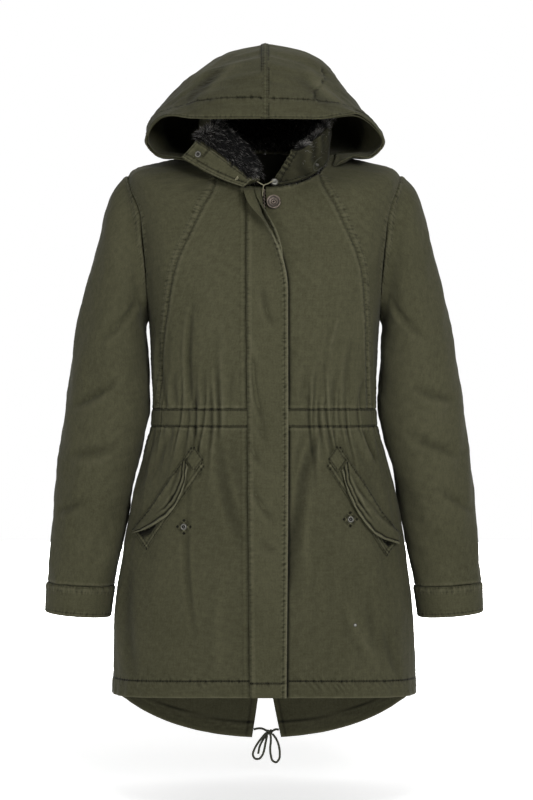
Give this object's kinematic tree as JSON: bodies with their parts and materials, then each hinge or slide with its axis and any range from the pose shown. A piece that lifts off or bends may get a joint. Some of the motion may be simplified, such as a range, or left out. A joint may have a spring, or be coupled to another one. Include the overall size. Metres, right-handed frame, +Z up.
{
  "type": "hooded raincoat",
  "caption": "Thigh-length hooded raincoat in parka cut, filled out as worn, with a storm flap, drawn-in waist, slanted flap pockets and a fishtail back with a drawcord.",
  "frame": {"origin": "the point inside the coat midway between the shoulder tips, where the wearer's shoulders hold it up", "axes": "+Z up along the coat's length, +X to the wearer's left, -Y to the front"},
  "size_m": [0.676, 0.2977, 1.1402],
  "materials": {
    "olive_cloth": "washed cotton twill, matt",
    "dark_pile": "deep pile fur fabric",
    "zip_tape": "woven tape",
    "aged_metal": "antiqued, dull",
    "braided_cord": "braided cord"
  },
  "bodies": {
    "root": {"back_bodice": "olive_cloth", "collar": "olive_cloth", "collar_facing_left": "olive_cloth", "collar_facing_right": "olive_cloth", "cuff_left": "olive_cloth", "cuff_right": "olive_cloth", "front_centre_left": "olive_cloth", "front_centre_right": "olive_cloth", "front_side_left": "olive_cloth", "front_side_right": "olive_cloth", "hood_facing": "olive_cloth", "hood_left": "olive_cloth", "hood_right": "olive_cloth", "hood_strip": "olive_cloth", "pocket_box_left": "olive_cloth", "pocket_box_right": "olive_cloth", "pocket_flap_left": "olive_cloth", "pocket_flap_right": "olive_cloth", "pocket_welt_left": "olive_cloth", "pocket_welt_right": "olive_cloth", "skirt_back_left": "olive_cloth", "skirt_back_right": "olive_cloth", "skirt_front_left": "olive_cloth", "skirt_front_right": "olive_cloth", "sleeve_left": "olive_cloth", "sleeve_right": "olive_cloth", "snap_patch_left": "olive_cloth", "snap_patch_right": "olive_cloth", "storm_flap": "olive_cloth", "under_flap": "olive_cloth", "waist_casing_back": "olive_cloth", "waist_casing_left": "olive_cloth", "waist_casing_right": "olive_cloth", "collar_fur": "dark_pile", "zip_tape_left": "zip_tape", "zip_tape_right": "zip_tape", "collar_snap": "aged_metal", "front_button": "aged_metal", "hood_button": "aged_metal", "pocket_snap_left": "aged_metal", "pocket_snap_right": "aged_metal", "skirt_stud": "aged_metal", "zip_chain": "aged_metal", "cord_end": "braided_cord", "cord_knot": "braided_cord", "cord_loop_left": "braided_cord", "cord_loop_right": "braided_cord", "cord_tie_left": "braided_cord", "cord_tie_right": "braided_cord", "hood_loop": "braided_cord"}
  },
  "joints": []
}
